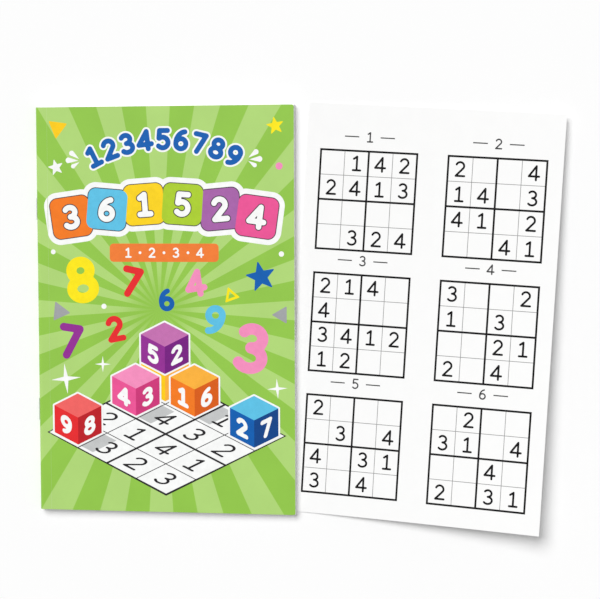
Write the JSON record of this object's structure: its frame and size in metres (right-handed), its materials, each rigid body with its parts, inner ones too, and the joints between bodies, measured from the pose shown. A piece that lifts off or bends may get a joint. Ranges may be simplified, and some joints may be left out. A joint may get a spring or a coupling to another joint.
{
  "type": "sudoku puzzle book",
  "caption": "Softcover stapled number puzzle book, lying closed, that opens at its middle, with a puzzle leaf torn out along its perforation and tucked in at the back.",
  "frame": {"origin": "middle of the back cover's underside", "axes": "+X from the spine to the fore edge, +Y from the tail to the head, +Z from the back cover up to the front cover"},
  "size_m": [0.281, 0.2236, 0.0124],
  "materials": {
    "cover_card": "printed, satin",
    "page_paper": "uncoated, matt",
    "staple_wire": "bright"
  },
  "bodies": {
    "book": {"back_cover": "cover_card", "cover_spine": "cover_card", "sheet_01_back": "page_paper", "sheet_01_fold": "page_paper"},
    "front_leaf": {"sheet_01_front": "page_paper", "front_hinge_strip": "cover_card"},
    "front_cover": {"front_cover": "cover_card"},
    "staples": {"staple_head": "staple_wire", "staple_tail": "staple_wire"},
    "tear_out_leaf": {"tear_out_leaf": "page_paper"},
    "sheet_02_back": {"sheet_02_back": "page_paper", "sheet_02_fold": "page_paper"},
    "sheet_02_front": {"sheet_02_front_stub": "page_paper"},
    "sheet_03_back": {"sheet_03_back": "page_paper", "sheet_03_fold": "page_paper"},
    "sheet_03_front": {"sheet_03_front": "page_paper"},
    "sheet_04_back": {"sheet_04_back": "page_paper", "sheet_04_fold": "page_paper"},
    "sheet_04_front": {"sheet_04_front": "page_paper"},
    "sheet_05_back": {"sheet_05_back": "page_paper", "sheet_05_fold": "page_paper"},
    "sheet_05_front": {"sheet_05_front": "page_paper"},
    "sheet_06_back": {"sheet_06_back": "page_paper", "sheet_06_fold": "page_paper"},
    "sheet_06_front": {"sheet_06_front": "page_paper"},
    "sheet_07_back": {"sheet_07_back": "page_paper", "sheet_07_fold": "page_paper"},
    "sheet_07_front": {"sheet_07_front": "page_paper"},
    "sheet_08_back": {"sheet_08_back": "page_paper", "sheet_08_fold": "page_paper"},
    "sheet_08_front": {"sheet_08_front": "page_paper"},
    "sheet_09_back": {"sheet_09_back": "page_paper", "sheet_09_fold": "page_paper"},
    "sheet_09_front": {"sheet_09_front": "page_paper"},
    "sheet_10_back": {"sheet_10_back": "page_paper", "sheet_10_fold": "page_paper"},
    "sheet_10_front": {"sheet_10_front": "page_paper"},
    "sheet_11_back": {"sheet_11_back": "page_paper", "sheet_11_fold": "page_paper"},
    "sheet_11_front": {"sheet_11_front": "page_paper"},
    "sheet_12_back": {"sheet_12_back": "page_paper", "sheet_12_fold": "page_paper"},
    "sheet_12_front": {"sheet_12_front": "page_paper"}
  },
  "joints": [
    {"name": "book_opening", "type": "hinge", "parent": "book", "child": "front_leaf", "pos_m": [-0.06727, 0, 0.00258], "axis": [0, -1, 0], "range_deg": [0, 172], "deforming": ["cover_spine", "sheet_01_fold"]},
    {"name": "front_cover_hinge", "type": "hinge", "parent": "front_leaf", "child": "front_cover", "pos_m": [-0.06326, 0, 0.00514], "axis": [0, -1, 0], "range_deg": [0, 170]},
    {"name": "staples_swing", "type": "hinge", "parent": "book", "child": "staples", "pos_m": [-0.06727, 0, 0.00258], "axis": [0, -1, 0], "range_deg": [0, 86.1]},
    {"name": "leaf_slide", "type": "slide", "parent": "book", "child": "tear_out_leaf", "axis": [0.9981, -0.061, 0], "range_m": [0, 0.05]},
    {"name": "sheet_02_back_hinge", "type": "hinge", "parent": "book", "child": "sheet_02_back", "pos_m": [-0.06727, 0, 0.00258], "axis": [0, -1, 0], "range_deg": [0, 0.882]},
    {"name": "sheet_02_fold_hinge", "type": "hinge", "parent": "sheet_02_back", "child": "sheet_02_front", "pos_m": [-0.06727, 0, 0.00258], "axis": [0, -1, 0], "range_deg": [0, 170.38], "deforming": ["sheet_02_fold"]},
    {"name": "sheet_03_back_hinge", "type": "hinge", "parent": "book", "child": "sheet_03_back", "pos_m": [-0.06727, 0, 0.00258], "axis": [0, -1, 0], "range_deg": [0, 1.66]},
    {"name": "sheet_03_fold_hinge", "type": "hinge", "parent": "sheet_03_back", "child": "sheet_03_front", "pos_m": [-0.06727, 0, 0.00258], "axis": [0, -1, 0], "range_deg": [0, 168.66], "deforming": ["sheet_03_fold"]},
    {"name": "sheet_04_back_hinge", "type": "hinge", "parent": "book", "child": "sheet_04_back", "pos_m": [-0.06727, 0, 0.00258], "axis": [0, -1, 0], "range_deg": [0, 2.44]},
    {"name": "sheet_04_fold_hinge", "type": "hinge", "parent": "sheet_04_back", "child": "sheet_04_front", "pos_m": [-0.06727, 0, 0.00258], "axis": [0, -1, 0], "range_deg": [0, 166.94], "deforming": ["sheet_04_fold"]},
    {"name": "sheet_05_back_hinge", "type": "hinge", "parent": "book", "child": "sheet_05_back", "pos_m": [-0.06727, 0, 0.00258], "axis": [0, -1, 0], "range_deg": [0, 3.23]},
    {"name": "sheet_05_fold_hinge", "type": "hinge", "parent": "sheet_05_back", "child": "sheet_05_front", "pos_m": [-0.06727, 0, 0.00258], "axis": [0, -1, 0], "range_deg": [0, 165.22], "deforming": ["sheet_05_fold"]},
    {"name": "sheet_06_back_hinge", "type": "hinge", "parent": "book", "child": "sheet_06_back", "pos_m": [-0.06727, 0, 0.00258], "axis": [0, -1, 0], "range_deg": [0, 4.01]},
    {"name": "sheet_06_fold_hinge", "type": "hinge", "parent": "sheet_06_back", "child": "sheet_06_front", "pos_m": [-0.06727, 0, 0.00258], "axis": [0, -1, 0], "range_deg": [0, 163.5], "deforming": ["sheet_06_fold"]},
    {"name": "sheet_07_back_hinge", "type": "hinge", "parent": "book", "child": "sheet_07_back", "pos_m": [-0.06727, 0, 0.00258], "axis": [0, -1, 0], "range_deg": [0, 4.79]},
    {"name": "sheet_07_fold_hinge", "type": "hinge", "parent": "sheet_07_back", "child": "sheet_07_front", "pos_m": [-0.06727, 0, 0.00258], "axis": [0, -1, 0], "range_deg": [0, 161.78], "deforming": ["sheet_07_fold"]},
    {"name": "sheet_08_back_hinge", "type": "hinge", "parent": "book", "child": "sheet_08_back", "pos_m": [-0.06727, 0, 0.00258], "axis": [0, -1, 0], "range_deg": [0, 5.57]},
    {"name": "sheet_08_fold_hinge", "type": "hinge", "parent": "sheet_08_back", "child": "sheet_08_front", "pos_m": [-0.06727, 0, 0.00258], "axis": [0, -1, 0], "range_deg": [0, 160.06], "deforming": ["sheet_08_fold"]},
    {"name": "sheet_09_back_hinge", "type": "hinge", "parent": "book", "child": "sheet_09_back", "pos_m": [-0.06727, 0, 0.00258], "axis": [0, -1, 0], "range_deg": [0, 6.36]},
    {"name": "sheet_09_fold_hinge", "type": "hinge", "parent": "sheet_09_back", "child": "sheet_09_front", "pos_m": [-0.06727, 0, 0.00258], "axis": [0, -1, 0], "range_deg": [0, 158.34], "deforming": ["sheet_09_fold"]},
    {"name": "sheet_10_back_hinge", "type": "hinge", "parent": "book", "child": "sheet_10_back", "pos_m": [-0.06727, 0, 0.00258], "axis": [0, -1, 0], "range_deg": [0, 7.14]},
    {"name": "sheet_10_fold_hinge", "type": "hinge", "parent": "sheet_10_back", "child": "sheet_10_front", "pos_m": [-0.06727, 0, 0.00258], "axis": [0, -1, 0], "range_deg": [0, 156.62], "deforming": ["sheet_10_fold"]},
    {"name": "sheet_11_back_hinge", "type": "hinge", "parent": "book", "child": "sheet_11_back", "pos_m": [-0.06727, 0, 0.00258], "axis": [0, -1, 0], "range_deg": [0, 7.92]},
    {"name": "sheet_11_fold_hinge", "type": "hinge", "parent": "sheet_11_back", "child": "sheet_11_front", "pos_m": [-0.06727, 0, 0.00258], "axis": [0, -1, 0], "range_deg": [0, 154.9], "deforming": ["sheet_11_fold"]},
    {"name": "sheet_12_back_hinge", "type": "hinge", "parent": "book", "child": "sheet_12_back", "pos_m": [-0.06727, 0, 0.00258], "axis": [0, -1, 0], "range_deg": [0, 8.7]},
    {"name": "sheet_12_fold_hinge", "type": "hinge", "parent": "sheet_12_back", "child": "sheet_12_front", "pos_m": [-0.06727, 0, 0.00258], "axis": [0, -1, 0], "range_deg": [0, 153.18], "deforming": ["sheet_12_fold"]}
  ],
  "couplings": [
    {"joint": "staples_swing", "follows": "book_opening", "ratio": 0.5},
    {"joint": "sheet_02_back_hinge", "follows": "book_opening", "ratio": 0.004545},
    {"joint": "sheet_02_fold_hinge", "follows": "book_opening", "ratio": 0.99},
    {"joint": "sheet_03_back_hinge", "follows": "book_opening", "ratio": 0.009091},
    {"joint": "sheet_03_fold_hinge", "follows": "book_opening", "ratio": 0.98},
    {"joint": "sheet_04_back_hinge", "follows": "book_opening", "ratio": 0.013636},
    {"joint": "sheet_04_fold_hinge", "follows": "book_opening", "ratio": 0.97},
    {"joint": "sheet_05_back_hinge", "follows": "book_opening", "ratio": 0.018182},
    {"joint": "sheet_05_fold_hinge", "follows": "book_opening", "ratio": 0.96},
    {"joint": "sheet_06_back_hinge", "follows": "book_opening", "ratio": 0.022727},
    {"joint": "sheet_06_fold_hinge", "follows": "book_opening", "ratio": 0.95},
    {"joint": "sheet_07_back_hinge", "follows": "book_opening", "ratio": 0.027273},
    {"joint": "sheet_07_fold_hinge", "follows": "book_opening", "ratio": 0.94},
    {"joint": "sheet_08_back_hinge", "follows": "book_opening", "ratio": 0.031818},
    {"joint": "sheet_08_fold_hinge", "follows": "book_opening", "ratio": 0.93},
    {"joint": "sheet_09_back_hinge", "follows": "book_opening", "ratio": 0.036364},
    {"joint": "sheet_09_fold_hinge", "follows": "book_opening", "ratio": 0.92},
    {"joint": "sheet_10_back_hinge", "follows": "book_opening", "ratio": 0.040909},
    {"joint": "sheet_10_fold_hinge", "follows": "book_opening", "ratio": 0.91},
    {"joint": "sheet_11_back_hinge", "follows": "book_opening", "ratio": 0.045455},
    {"joint": "sheet_11_fold_hinge", "follows": "book_opening", "ratio": 0.9},
    {"joint": "sheet_12_back_hinge", "follows": "book_opening", "ratio": 0.05},
    {"joint": "sheet_12_fold_hinge", "follows": "book_opening", "ratio": 0.89}
  ]
}
